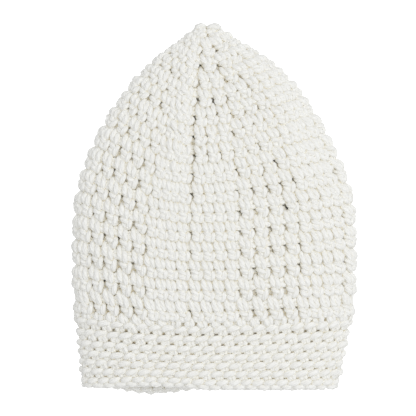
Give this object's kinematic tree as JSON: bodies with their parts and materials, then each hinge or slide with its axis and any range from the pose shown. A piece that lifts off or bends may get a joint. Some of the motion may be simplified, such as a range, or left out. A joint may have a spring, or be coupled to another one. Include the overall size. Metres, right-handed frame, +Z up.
{
  "type": "kufi",
  "caption": "Tall pointed cap crocheted from thick off-white cotton, lying flat on its back, hollow and open at a close-stitched band.",
  "frame": {"origin": "on the table, under the middle of the cap's box as it lies on its back", "axes": "+X to the right across the cap, +Y from the open rim to the pointed tip, +Z up from the table through both layers"},
  "size_m": [0.2478, 0.3248, 0.0577],
  "materials": {
    "crown_yarn": "matt off-white bulky cotton yarn in tall stitches, in ribs round the crown",
    "band_yarn": "matt off-white bulky cotton yarn in short close stitches",
    "edging_yarn": "matt off-white bulky cotton yarn in a chain round the rim"
  },
  "bodies": {
    "root": {"crown": "crown_yarn", "band": "band_yarn", "edging": "edging_yarn"}
  },
  "joints": []
}
